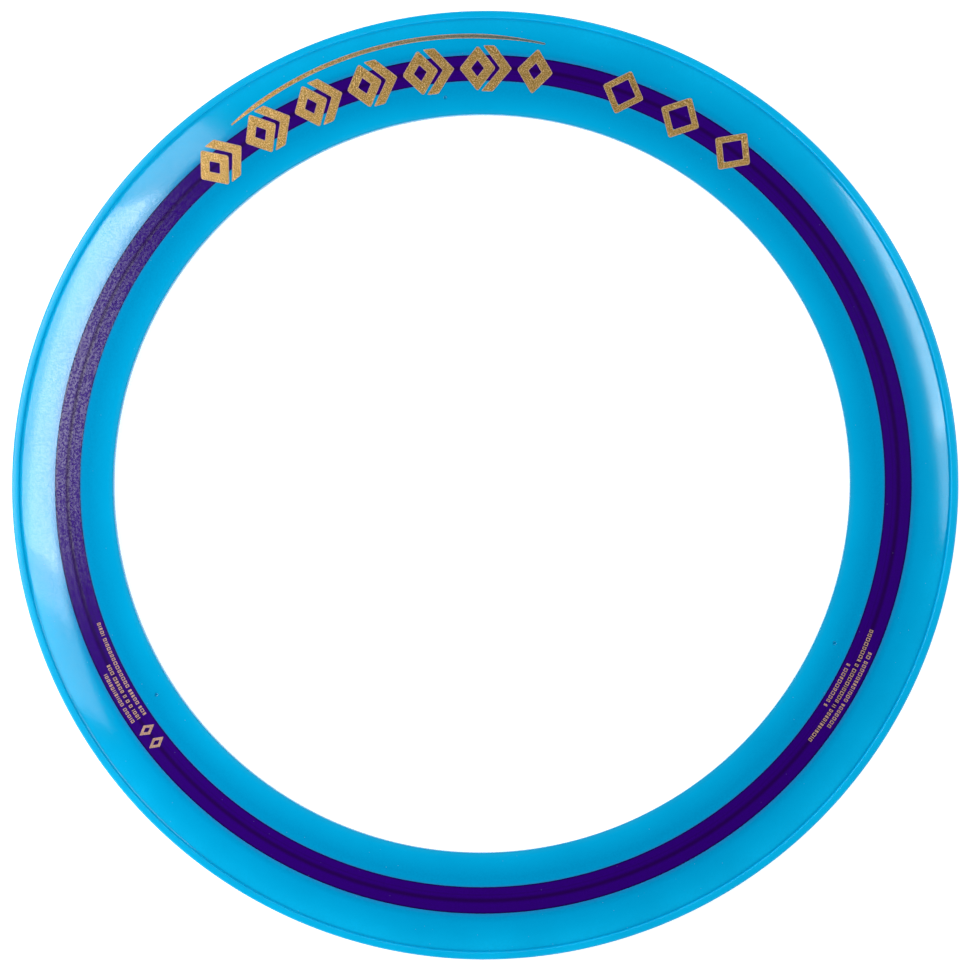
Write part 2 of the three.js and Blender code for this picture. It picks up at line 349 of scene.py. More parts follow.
def ring_place_group():
    """Where a point is on the ring: its radius in millimetres and its angle in degrees."""
    name = "Ring place"
    if name in bpy.data.node_groups:
        return bpy.data.node_groups[name]
    tree, n, _, end = new_group(name, {}, ("Radius", "Angle"))
    place = n.add("ShaderNodeTexCoord").outputs["Object"]
    split = n.add("ShaderNodeSeparateXYZ", {0: place})
    x, y = split.outputs["X"], split.outputs["Y"]
    squares = n.math("ADD", n.math("MULTIPLY", x, x), n.math("MULTIPLY", y, y))
    radius = n.math("MULTIPLY", n.math("SQRT", squares), 1000.0)
    angle = n.math("DEGREES", n.math("ARCTAN2", y, x))
    tree.links.new(radius, end.inputs["Radius"])
    tree.links.new(angle, end.inputs["Angle"])
    return tree


def spark_grain_group():
    """The fine pitted grain of a spark-eroded mould: a height, and a mask of its high spots."""
    name = "Spark grain"
    if name in bpy.data.node_groups:
        return bpy.data.node_groups[name]
    pit_fineness, pit_share = 2.3, 0.12  # the pits against the coarser grain
    tree, n, start, end = new_group(name, {"Scale": 1600.0}, ("Height", "Spots"))
    place = n.add("ShaderNodeTexCoord").outputs["Object"]
    scale = start.outputs["Scale"]
    coarse = n.add("ShaderNodeTexNoise", {"Vector": place, "Scale": scale, "Detail": 0.5})
    fine_scale = n.math("MULTIPLY", scale, pit_fineness)
    pits = n.add("ShaderNodeTexVoronoi", {"Vector": place, "Scale": fine_scale}, feature="SMOOTH_F1")
    mixed = n.math("ADD", coarse.outputs[0], n.math("MULTIPLY", pits.outputs["Distance"], pit_share))
    tree.links.new(mixed, end.inputs["Height"])
    tree.links.new(n.spread(coarse.outputs[0], 0.44, 0.56), end.inputs["Spots"])
    return tree


def handling_group():
    """Marks of use: faint scuffs that run along the ring and scattered dust specks."""
    name = "Handling"
    if name in bpy.data.node_groups:
        return bpy.data.node_groups[name]
    stretch = 0.12  # the scuffs are longer round the ring than across it
    tree, n, _, end = new_group(name, {}, ("Scuffs", "Specks"))
    place = n.add("ShaderNodeTexCoord").outputs["Object"]
    ring = n.group(ring_place_group())
    turn = n.math("MULTIPLY", ring.outputs["Angle"], stretch)
    along = n.add("ShaderNodeCombineXYZ", {0: ring.outputs["Radius"], 1: turn, 2: 0.0})
    scratch = n.add("ShaderNodeTexNoise", {"Vector": along.outputs[0], "Scale": 3.2, "Detail": 3.0})
    patches = n.add("ShaderNodeTexNoise", {"Vector": place, "Scale": 22.0, "Detail": 2.0})
    scuffs = n.math("MULTIPLY", n.spread(scratch.outputs[0], 0.62, 0.72),
                    n.spread(patches.outputs[0], 0.5, 0.65))
    dust = n.add("ShaderNodeTexVoronoi", {"Vector": place, "Scale": 260.0})
    specks = n.spread(dust.outputs["Distance"], 0.0, 0.05, 1.0, 0.0)
    tree.links.new(scuffs, end.inputs["Scuffs"])
    tree.links.new(specks, end.inputs["Specks"])
    return tree


def new_material(name):
    """A new node material, its node helper and its Principled shader."""
    material = bpy.data.materials.new(name)
    material.use_nodes = True
    return material, Nodes(material.node_tree), material.node_tree.nodes["Principled BSDF"]


def bump(n, shader, height, distance):
    """Joins a height to the shader's normal, with its full depth in metres."""
    node = n.add("ShaderNodeBump", {"Height": height, "Distance": distance, "Strength": 1.0})
    n.tree.links.new(node.outputs[0], shader.inputs["Normal"])


def ramp(n, value, stops):
    """A colour ramp: stops are (position, colour)."""
    node = n.add("ShaderNodeValToRGB", {0: value})
    elements = node.color_ramp.elements
    while len(elements) < len(stops):
        elements.new(1.0)
    for element, (position, tint) in zip(elements, stops):
        element.position = position
        element.color = (*tint, 1)
    return node.outputs[0]


def on_ring(n, radius, lines, tint):
    """The tint, blended towards darker ones near circles round the ring, sizes in millimetres."""
    for centre, flat, half, depth, darker in lines:
        off = n.math("ABSOLUTE", n.math("SUBTRACT", radius, centre))
        tint = n.blend(n.spread(off, flat, half, depth, 0.0), tint, darker)
    return tint


# ---- Finishes ----
RUBBER_GRAIN, CORE_GRAIN, FOIL_GRAIN, INK_GRAIN = 1400.0, 1500.0, 1900.0, 2100.0  # noise scales
RUBBER_ROUGHNESS, CORE_ROUGHNESS = 0.08, 0.15
RIM_ROUGHNESS, SCUFF_ROUGHNESS = 0.11, 0.05  # added on the raised rim, and on scuffs
RUBBER_IOR, CORE_IOR = 1.33, 1.28
GRAIN_DEPTH, FOIL_DEPTH, INK_DEPTH = 0.015 * MM, 0.14 * MM, 0.01 * MM
RUBBER_DUST, CORE_DUST = (0.7, 0.8, 0.85), (0.6, 0.55, 0.7)  # colours of dust specks


def blue_rubber():
    """Blue rubber: painted glow where it thins, painted shade in the valley, grained on top, smooth on the
    rim.
    """
    name = "blue rubber"
    if name in bpy.data.materials:
        return bpy.data.materials[name]
    s, c = sizes(), colours()
    material, n, shader = new_material(name)
    ring = n.group(ring_place_group())
    grain = n.group(spark_grain_group(), {"Scale": RUBBER_GRAIN})
    marks = n.group(handling_group())
    inner, outer = s.hole_radius / MM, OUTER_RADIUS / MM
    across = n.spread(ring.outputs["Radius"], inner, outer)
    # Painted glow: the lighter blues near the hole and on the outer rubber towards the valley stand in for
    # light through thin rubber
    stops = ((s.hole_radius, c.rubber_lip), (s.hole_radius + 0.5 * MM, c.rubber_nose_glow),
             (s.hole_radius + 2 * MM, c.rubber_glow_and_grain),
             (s.band_inner - 3 * MM, c.rubber_deep), (s.band_inner - 0.8 * MM, c.rubber_deep),
             (s.band_inner, c.rubber_seam), (s.band_outer, c.rubber_seam),
             (s.band_outer + 1.4 * MM, c.rubber_deep), (s.band_outer + 3 * MM, c.rubber),
             (s.valley_radius - 6 * MM, c.rubber_glow_and_grain), (s.valley_radius - 0.9 * MM, c.rubber_rim),
             # painted shade in the valley
             (s.valley_radius - 0.4 * MM, c.rubber_valley_shade), (s.rim_inner_radius, c.rubber_valley_shade),
             (s.rim_inner_radius + 0.3 * MM, c.rubber_rim), (OUTER_RADIUS - 0.4 * MM, c.rubber_rim),
             (OUTER_RADIUS, c.rubber_lip))
    tint = ramp(n, across, [((radius / MM - inner) / (outer - inner), tint) for radius, tint in stops])
    place = n.add("ShaderNodeTexCoord").outputs["Object"]
    cloud = n.add("ShaderNodeTexNoise", {"Vector": place, "Scale": 38.0, "Detail": 4.0})
    tint = n.blend(n.spread(cloud.outputs[0], 0.35, 0.7, 0.0, 0.35), tint, c.rubber_deep)
    tint = n.blend(n.math("MULTIPLY", grain.outputs["Spots"], 0.16), tint, c.rubber_glow_and_grain)
    tint = n.blend(n.math("MULTIPLY", marks.outputs["Specks"], 0.25), tint, RUBBER_DUST)
    n.tree.links.new(tint, shader.inputs["Base Color"])
    on_rim = n.spread(ring.outputs["Radius"], s.valley_radius / MM - 0.4, s.valley_radius / MM + 0.2)
    scuffed = n.math("MULTIPLY", marks.outputs["Scuffs"], SCUFF_ROUGHNESS)
    rough = n.math("ADD", RUBBER_ROUGHNESS, scuffed)
    rough = n.math("ADD", rough, n.math("MULTIPLY", on_rim, RIM_ROUGHNESS))
    n.tree.links.new(rough, shader.inputs["Roughness"])
    shader.inputs["IOR"].default_value = RUBBER_IOR
    gloss = n.math("MULTIPLY", n.spread(grain.outputs["Spots"], 0.0, 1.0, 0.35, 0.65),
                   n.spread(on_rim, 0.0, 1.0, 1.0, 0.0))
    n.tree.links.new(gloss, shader.inputs["Coat Weight"])
    shader.inputs["Coat Roughness"].default_value = RUBBER_ROUGHNESS
    graining = n.spread(on_rim, 0.0, 1.0, 1.0, 0.15)
    swell = n.add("ShaderNodeTexNoise", {"Vector": place, "Scale": 140.0, "Detail": 1.0})
    height = n.math("ADD", grain.outputs["Height"], n.math("MULTIPLY", swell.outputs[0], 0.6))
    bump(n, shader, n.math("MULTIPLY", height, graining), GRAIN_DEPTH)
    return material


def purple_core():
    """Purple plastic with fine moulded lines that run round the band."""
    name = "purple core"
    if name in bpy.data.materials:
        return bpy.data.materials[name]
    s, c = sizes(), colours()
    material, n, shader = new_material(name)
    ring = n.group(ring_place_group())
    grain = n.group(spark_grain_group(), {"Scale": CORE_GRAIN})
    marks = n.group(handling_group())
    radius, groove = ring.outputs["Radius"], s.groove_radius / MM
    tint = on_ring(n, radius, (  # centre, half of the darkest part, half of the width, how dark, colour
        (groove, 0.3, 1.1, 0.95, c.core_line), (groove - 1.9, 0.0, 0.4, 0.35, c.core_line),
        (s.band_outer / MM, 0.2, 0.8, 1.0, c.core_edge),
        (s.band_inner / MM, 0.1, 0.6, 1.0, c.core_edge)), c.core)
    waves = n.add("ShaderNodeTexNoise", {"W": radius, "Scale": 2.4, "Detail": 2.0}, noise_dimensions="1D")
    tint = n.blend(n.spread(waves.outputs[0], 0.4, 0.7, 0.0, 0.15), tint, c.core_line)
    tint = n.blend(n.math("MULTIPLY", marks.outputs["Specks"], 0.2), tint, CORE_DUST)
    tint = n.blend(n.math("MULTIPLY", grain.outputs["Spots"], 0.06), tint, c.core_line)
    n.tree.links.new(tint, shader.inputs["Base Color"])
    scuffed = n.math("MULTIPLY", marks.outputs["Scuffs"], SCUFF_ROUGHNESS)
    n.tree.links.new(n.math("ADD", CORE_ROUGHNESS, scuffed), shader.inputs["Roughness"])
    shader.inputs["IOR"].default_value = CORE_IOR
    off = n.math("ABSOLUTE", n.math("SUBTRACT", radius, groove))
    gloss = n.math("MULTIPLY", grain.outputs["Spots"], n.spread(off, 0.3, 1.2, 0.55, 1.0))
    n.tree.links.new(gloss, shader.inputs["Coat Weight"])
    shader.inputs["Coat Roughness"].default_value = CORE_ROUGHNESS
    bump(n, shader, grain.outputs["Height"], GRAIN_DEPTH)
    return material


def foil_finish(name, faded):
    """Hot-stamped gold foil with a fine sparkle; the faded kind dulls towards +X."""
    if name in bpy.data.materials:
        return bpy.data.materials[name]
    c = colours()
    material, n, shader = new_material(name)
    place = n.add("ShaderNodeTexCoord").outputs["Object"]
    cloud = n.add("ShaderNodeTexNoise", {"Vector": place, "Scale": 300.0, "Detail": 2.0})
    fleck = n.add("ShaderNodeTexNoise", {"Vector": place, "Scale": 3000.0, "Detail": 1.0})
    grain = n.group(spark_grain_group(), {"Scale": FOIL_GRAIN})
    tint = n.blend(n.spread(cloud.outputs[0], 0.4, 0.7, 0.0, 0.4), c.gold, c.gold_dull)
    tint = n.blend(n.spread(fleck.outputs[0], 0.38, 0.62, 0.55, 0.0), tint, c.gold_dull)
    tint = n.blend(n.spread(fleck.outputs[0], 0.52, 0.64, 0.0, 0.85), tint, c.gold_bright)
    if faded:
        split = n.add("ShaderNodeSeparateXYZ", {0: place})
        fading = n.spread(split.outputs["X"], -70 * MM, 25 * MM)
        tint = n.blend(fading, tint, c.foil_faded)
    n.tree.links.new(tint, shader.inputs["Base Color"])
    shader.inputs["Metallic"].default_value = 0.72
    n.tree.links.new(n.spread(fleck.outputs[0], 0.3, 0.7, 0.3, 0.45), shader.inputs["Roughness"])
    bump(n, shader, grain.outputs["Height"], FOIL_DEPTH)
    return material


def gold_foil():
    """The foil of the large marks."""
    return foil_finish("gold foil", False)


def stripe_foil():
    """The foil of the pinstripe, which is worn thin at one end."""
    return foil_finish("pinstripe foil", True)


def plain_ink(name, tint):
    """A pale foil or ink with a little grain."""
    if name in bpy.data.materials:
        return bpy.data.materials[name]
    material, n, shader = new_material(name)
    grain = n.group(spark_grain_group(), {"Scale": INK_GRAIN})
    dark = tuple(0.6 * channel for channel in tint)
    mottled = n.blend(n.math("MULTIPLY", grain.outputs["Spots"], 0.7), tint, dark)
    n.tree.links.new(mottled, shader.inputs["Base Color"])
    n.tree.links.new(n.spread(grain.outputs["Spots"], 0.0, 1.0, 0.5, 0.38), shader.inputs["Roughness"])
    shader.inputs["Metallic"].default_value = 0.15
    bump(n, shader, grain.outputs["Height"], INK_DEPTH)
    return material


def floor_paint():
    """Pale, almost even studio floor that is bright enough to read as white."""
    material, n, shader = new_material("floor paint")
    c = colours()
    place = n.add("ShaderNodeTexCoord").outputs["Object"]
    cloud = n.add("ShaderNodeTexNoise", {"Vector": place, "Scale": 3.0, "Detail": 3.0})
    paler = tuple(min(1.0, 1.06 * channel) for channel in c.floor)
    tint = n.blend(n.spread(cloud.outputs[0], 0.4, 0.6), c.floor, paler)
    n.tree.links.new(tint, shader.inputs["Base Color"])
    shader.inputs["Roughness"].default_value = 0.9
    shader.inputs["Specular IOR Level"].default_value = 0.1
    shader.inputs["Emission Color"].default_value = (1, 1, 1, 1)
    shader.inputs["Emission Strength"].default_value = FLOOR_GLOW
    return material


# ---- Pieces ----
class RING_OT_core(bpy.types.Operator):
    """Models the stiff core ring with its moulded lines and its two buried tongues"""

    bl_idname = "ring.core"
    bl_label = "Core ring"

    def execute(self, context):
        s = sizes()
        half, middle = (TONGUE_HIGH - TONGUE_LOW) / 2, (TONGUE_HIGH + TONGUE_LOW) / 2
        edge = s.seam
        inner, outer = s.band_inner, s.band_outer
        section = [(inner + edge, 0), (outer - edge, 0), (outer, edge), (outer, TONGUE_LOW)]
        section += arc(OUTER_TONGUE_END - half, middle, half, -90, 90, 8)
        section += [(outer, TONGUE_HIGH), (outer, crown(outer) - edge)]
        section += self.band_top(inner + edge, outer - edge)
        section += [(inner, crown(inner) - edge), (inner, TONGUE_HIGH)]
        section += arc(INNER_TONGUE_END + half, middle, half, 90, 270, 8)
        section += [(inner, TONGUE_LOW), (inner, edge)]
        piece = turned_ring("core_ring_moulding", section, crease=40)
        finish_piece(piece, "core", purple_core())
        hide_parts("core_ring")
        return {"FINISHED"}

    def band_top(self, inner, outer):
        """The band's top line, drawn inwards, with a moulded line and a fainter one on each side."""
        s = sizes()
        lines = ((s.groove_radius, GROOVE_HALF, s.groove_depth),
                 (s.groove_radius - s.side_line_offset, SIDE_LINE_HALF, s.side_line_depth),
                 (s.groove_radius + s.side_line_offset, SIDE_LINE_HALF, s.side_line_depth))
        steps = 70
        points = []
        for i in range(steps + 1):
            radius = outer + (inner - outer) * i / steps
            drop = 0.0
            for centre, half, depth in lines:
                off = abs(radius - centre) / half
                drop += depth * 0.5 * (1 + math.cos(math.pi * off)) if off < 1 else 0.0
            points.append((radius, crown(radius) - drop))
        return points


class RING_OT_outer_edge(bpy.types.Operator):
    """Models the soft outer edge with its valley and raised rim"""

    bl_idname = "ring.outer_edge"
    bl_label = "Outer rubber edge"

    def execute(self, context):
        s = sizes()
        wall = s.band_outer + WALL_GAP
        rim = OUTER_RADIUS - s.rim_outer_round
        shoulder = s.rim_inner_radius + s.rim_inner_round
        flash = s.rim_top / 2
        section = [(wall, s.relief + s.seam), (wall + s.seam, s.relief), (s.valley_radius, s.relief)]
        section += arc(rim, s.rim_outer_round, s.rim_outer_round, -90, 0, 8)
        section += [(OUTER_RADIUS, flash - FLASH_HALF), (OUTER_RADIUS + FLASH_OUT, flash),
                    (OUTER_RADIUS, flash + FLASH_HALF)]
        section += arc(rim, s.rim_top - s.rim_outer_round, s.rim_outer_round, 0, 90, 10)
        section += arc(shoulder, s.rim_top - s.rim_inner_round, s.rim_inner_round, 90, 160, 6)
        valley = [s.valley_radius - step * VALLEY_STEP for step in range(len(VALLEY_DROPS) + 1)]
        section += [(radius, crown(radius) - drop * MM) for radius, drop in zip(valley, VALLEY_DROPS)]
        section += crown_line(valley[-1], wall + s.seam, 26)
        section += [(wall, crown(wall) - s.seam), (wall, TONGUE_HIGH + FIT),
                    (OUTER_TONGUE_END + FIT, TONGUE_HIGH + FIT),
                    (OUTER_TONGUE_END + FIT, TONGUE_LOW - FIT), (wall, TONGUE_LOW - FIT)]
        piece = turned_ring("outer_edge_moulding", section)
        finish_piece(piece, "rubber", blue_rubber())
        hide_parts("outer_rubber_edge")
        return {"FINISHED"}


class RING_OT_inner_edge(bpy.types.Operator):
    """Models the soft inner edge with its rounded nose and three gate dimples"""

    bl_idname = "ring.inner_edge"
    bl_label = "Inner rubber edge"

    gate_circle = 134.9 * MM
    gate_radius = 0.7 * MM
    gate_depth = 0.4 * MM
    gate_round = 0.35 * MM
    gate_angles = (-24.4, 94.6, 213.6)  # degrees

    def execute(self, context):
        s = sizes()
        wall = s.band_inner - WALL_GAP
        nose = s.hole_radius + s.nose_round
        section = arc(nose, crown(nose) - s.nose_round, s.nose_round, 90, 180, 10)
        section += arc(nose, s.relief + NOSE_RELIEF + s.nose_round, s.nose_round, 180, 270, 8)
        section += [(INNER_TONGUE_END, s.relief + NOSE_RELIEF / 2), (wall - s.seam, s.relief),
                    (wall, s.relief + s.seam), (wall, TONGUE_LOW - FIT),
                    (INNER_TONGUE_END - FIT, TONGUE_LOW - FIT), (INNER_TONGUE_END - FIT, TONGUE_HIGH + FIT),
                    (wall, TONGUE_HIGH + FIT), (wall, crown(wall) - s.seam)]
        section += crown_line(wall - s.seam, nose, 20)[:-1]
        piece = turned_ring("inner_edge_moulding", section)
        cut(piece, [self.gate_cutter(angle) for angle in self.gate_angles])
        bpy.ops.object.shade_smooth_by_angle(angle=math.radians(30))
        finish_piece(piece, "rubber", blue_rubber())
        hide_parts("inner_rubber_edge")
        return {"FINISHED"}

    def gate_cutter(self, angle):
        """A round-nosed pin that stands where a gate's dimple is cut."""
        turn = math.radians(angle)
        place = (self.gate_circle * math.cos(turn), self.gate_circle * math.sin(turn),
                 crown(self.gate_circle) - self.gate_depth + MM)
        deselect()
        bpy.ops.mesh.primitive_cylinder_add(vertices=24, radius=self.gate_radius, depth=2 * MM,
                                            location=place)
        cutter = bpy.context.object
        modifier = cutter.modifiers.new("round", "BEVEL")
        modifier.width = self.gate_round
        modifier.segments = 4
        bpy.ops.object.modifier_apply(modifier="round")
        return cutter


# ---- Foil marks ----
ABOVE = 5 * MM  # flat marks are drawn at this height before they are laid down


def crown_guide():
    """A sheet that follows the ring's top, for laying marks on."""
    s = sizes()
    line = crown_line(s.hole_radius + s.nose_round, s.valley_radius, 110)
    piece = draw_section("crown_guide", line)
    turn_section()
    return piece


def lay_on_ring(piece, guide, lift, thickness):
    """Drops a flat piece on the ring's top and gives it its thickness."""
    pick(piece)
    modifier = piece.modifiers.new("lay", "SHRINKWRAP")
    modifier.target = guide
    modifier.wrap_method = "PROJECT"
    modifier.use_project_z = True
    modifier.use_negative_direction = True
    modifier.use_positive_direction = True
    modifier.offset = lift
    bpy.ops.object.modifier_apply(modifier="lay")
    modifier = piece.modifiers.new("thicken", "SOLIDIFY")
    modifier.thickness = thickness
    modifier.offset = 1.0
    bpy.ops.object.modifier_apply(modifier="thicken")


def remove(*pieces):
    """Deletes pieces that only helped to model others."""
    for piece in pieces:
        pick(piece)
        bpy.ops.object.delete()


def join(pieces, name):
    """Joins pieces into one."""
    pick(pieces[0])
    for piece in pieces:
        piece.select_set(True)
    bpy.ops.object.join()
    piece = bpy.context.object
    piece.name = piece.data.name = name
    return piece


def copy_of(piece, name):
    """A copy of a piece with its own mesh."""
    pick(piece)
    bpy.ops.object.duplicate()
    copy = bpy.context.object
    copy.name = copy.data.name = name
    return copy


def eased(corners, size, steps=4):
    """Points of a closed outline with eased corners."""
    points = []
    for i, corner in enumerate(corners):
        corner = Vector(corner)
        before, after = Vector(corners[i - 1]), Vector(corners[(i + 1) % len(corners)])
        first = corner + (before - corner).normalized() * size
        last = corner + (after - corner).normalized() * size
        for j in range(steps + 1):
            share = j / steps
            rest = 1 - share
            points.append(rest ** 2 * first + 2 * share * rest * corner + share ** 2 * last)
    return points


def diamond_outline(half_width, half_height, inset, ease, steps=4):
    """An upright diamond's outline, moved inwards, with eased corners."""
    reach = half_width * half_height / math.hypot(half_width, half_height)
    wide, tall = (side * (reach - inset) / reach for side in (half_width, half_height))
    return eased([(0, tall), (-wide, 0), (0, -tall), (wide, 0)], ease, steps)


def strip(first, second, material, closed=True, cuts=4):
    """Flat faces that look up, between two lines with the same number of points."""
    ends = 1 if closed else 0
    lines = []
    for points in (first, second):
        line = [(x, y, ABOVE) for x, y in points]
        lines.append(draw_line("strip", line + line[:ends]))
        bpy.ops.mesh.select_all(action="SELECT")
        bpy.ops.mesh.remove_doubles(threshold=TOUCHING)
    deselect()
    piece = join(lines, "strip")
    bpy.ops.object.mode_set(mode="EDIT")
    bpy.ops.mesh.select_all(action="SELECT")
    bpy.ops.mesh.bridge_edge_loops()
    bpy.ops.mesh.select_all(action="SELECT")
    bpy.ops.mesh.subdivide(number_cuts=cuts)
    bpy.ops.object.mode_set(mode="OBJECT")
    if piece.data.polygons[0].normal.z < 0:
        bpy.ops.object.mode_set(mode="EDIT")
        bpy.ops.mesh.flip_normals()
        bpy.ops.object.mode_set(mode="OBJECT")
    piece.data.materials.append(material)
    return piece


def weld(pieces, name):
    """Joins strips and merges their common lines."""
    piece = join(pieces, name)
    bpy.ops.object.mode_set(mode="EDIT")
    bpy.ops.mesh.select_all(action="SELECT")
    bpy.ops.mesh.remove_doubles(threshold=0.01 * MM)
    bpy.ops.object.mode_set(mode="OBJECT")
    return piece


def foil_edge():
    """The finish of the marks' pale edges."""
    return plain_ink("foil edge", tuple(colours().foil_edge))


def draw_diamond(half_width, half_height, stroke, corner):
    """A flat outlined diamond at the origin, its long axis along Y, with a pale edge."""
    pale = sizes().foil_edge_width
    insets = ((0, corner), (pale, corner), (stroke - pale, corner / 3), (stroke, corner / 3))
    rim, outer, inner, hole = (diamond_outline(half_width, half_height, *inset) for inset in insets)
    return weld([strip(outer, inner, gold_foil()),
                 strip(rim, outer, foil_edge(), cuts=1),
                 strip(inner, hole, foil_edge(), cuts=1)], "diamond")


def draw_chevron(half_width, half_height, stroke, corner):
    """A flat arrowhead at the origin that points along +X, parallel to a diamond's sides."""
    slant = math.hypot(half_width, half_height) / half_height
    pale = sizes().foil_edge_width

    def outline(inset):
        """The arrowhead's outline, moved inwards: its leading edge, then its trailing edge."""
        tall = half_height - inset
        lead, trail = half_width - inset * slant, half_width - (stroke - inset) * slant
        back = half_width * tall / half_height
        return eased([(lead - back, tall), (trail - back, tall), (trail, 0), (trail - back, -tall),
                      (lead - back, -tall), (lead, 0)], corner)

    inner = outline(pale)
    side = len(inner) // 6
    trailing = inner[side:4 * side]
    leading = inner[4 * side:] + inner[:side]
    leading.reverse()
    return weld([strip(trailing, leading, gold_foil(), closed=False),
                 strip(outline(0), inner, foil_edge(), cuts=1)], "chevron")


def stand_on_circle(piece, circle, angle):
    """Moves a flat mark from the origin to its place over the ring, its +Y pointing outwards."""
    piece.location = (circle * math.cos(angle), circle * math.sin(angle), 0)
    piece.rotation_euler = (0, 0, angle - math.pi / 2)


def node_angle(node):
    """The angle round the ring of the middle of a CAD node, in radians."""
    low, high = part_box(node)
    middle = (Vector(low) + Vector(high)) / 2
    return math.atan2(middle.y, middle.x)


class RING_OT_foil_marks(bpy.types.Operator):
    """Lays the two rows of gold foil diamonds and arrowheads on the ring"""

    bl_idname = "ring.foil_marks"
    bl_label = "Foil marks"

    circle = 144.5 * MM
    half_width = 6.4 * MM
    wide_half_width = 7.6 * MM
    corner = 1.0 * MM
    chevron_corner = 0.6 * MM
    chevron_advance = math.radians(2.25)

    def execute(self, context):
        s = sizes()
        guide = crown_guide()
        tall, stroke = s.mark_half_height, s.foil_stroke
        diamond = draw_diamond(self.half_width, tall, stroke, self.corner)
        wide = draw_diamond(self.wide_half_width, tall, s.wide_foil_stroke, self.corner)
        chevron = draw_chevron(self.half_width, tall, stroke, self.chevron_corner)
        for node in sorted(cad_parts):
            if node.startswith("foil_diamond"):
                self.place(diamond, node, node_angle(node), guide)
                following = node.replace("diamond", "chevron")
                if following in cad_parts:
                    self.place(chevron, following, node_angle(node) - self.chevron_advance, guide)
            if node.startswith("foil_wide_diamond"):
                self.place(wide, node, node_angle(node), guide)
        remove(guide, diamond, wide, chevron)
        return {"FINISHED"}

    def place(self, master, node, angle, guide):
        """Stands a copy of a mark on its place, lays it down and records what it stands for."""
        s = sizes()
        piece = copy_of(master, node + "_mark")
        stand_on_circle(piece, self.circle, angle)
        settle(piece)
        lay_on_ring(piece, guide, s.foil_lift, s.foil_thickness)
        record_foil(piece)
        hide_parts(node)


def record_foil(piece):
    """Says that the piece rides on the ring; it keeps its finishes."""
    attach(piece, BODY)


class RING_OT_pinstripe(bpy.types.Operator):
    """Lays the long tapered foil stripe outside the row of marks"""

    bl_idname = "ring.pinstripe"
    bl_label = "Foil pinstripe"

    start, end, peak = 81, 124.5, 99.5  # degrees; the stripe is farthest out at its peak
    circle = 156.5 * MM
    bow = 0.0056 * MM  # how fast it comes inwards on either side, per square degree
    width = 1.6 * MM
    tip = 0.3  # share of the width that is left at both ends
    steps = 60

    def execute(self, context):
        s = sizes()
        guide = crown_guide()
        edge = s.foil_edge_width * 2 / self.width
        lines = [self.edge_line(side) for side in (-1, edge - 1, 1 - edge, 1)]
        finishes = (foil_edge(), stripe_foil(), foil_edge())
        strips = [strip(first, second, finish, closed=False, cuts=1)
                  for first, second, finish in zip(lines, lines[1:], finishes)]
        piece = weld(strips, "foil_pinstripe_mark")
        lay_on_ring(piece, guide, s.foil_lift, s.foil_thickness)
        remove(guide)
        record_foil(piece)
        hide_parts("foil_pinstripe")
        return {"FINISHED"}

    def edge_line(self, side):
        """A line along the stripe; side is -1 at its inner edge and 1 at its outer edge."""
        points = []
        for i in range(self.steps + 1):
            share = i / self.steps
            turn = self.start + (self.end - self.start) * share
            taper = min(1.0, self.tip + 4 * share, self.tip + 8 * (1 - share))
            radius = self.circle - self.bow * (turn - self.peak) ** 2 + side * taper * self.width / 2
            angle = math.radians(turn)
            points.append((radius * math.cos(angle), radius * math.sin(angle)))
        return points


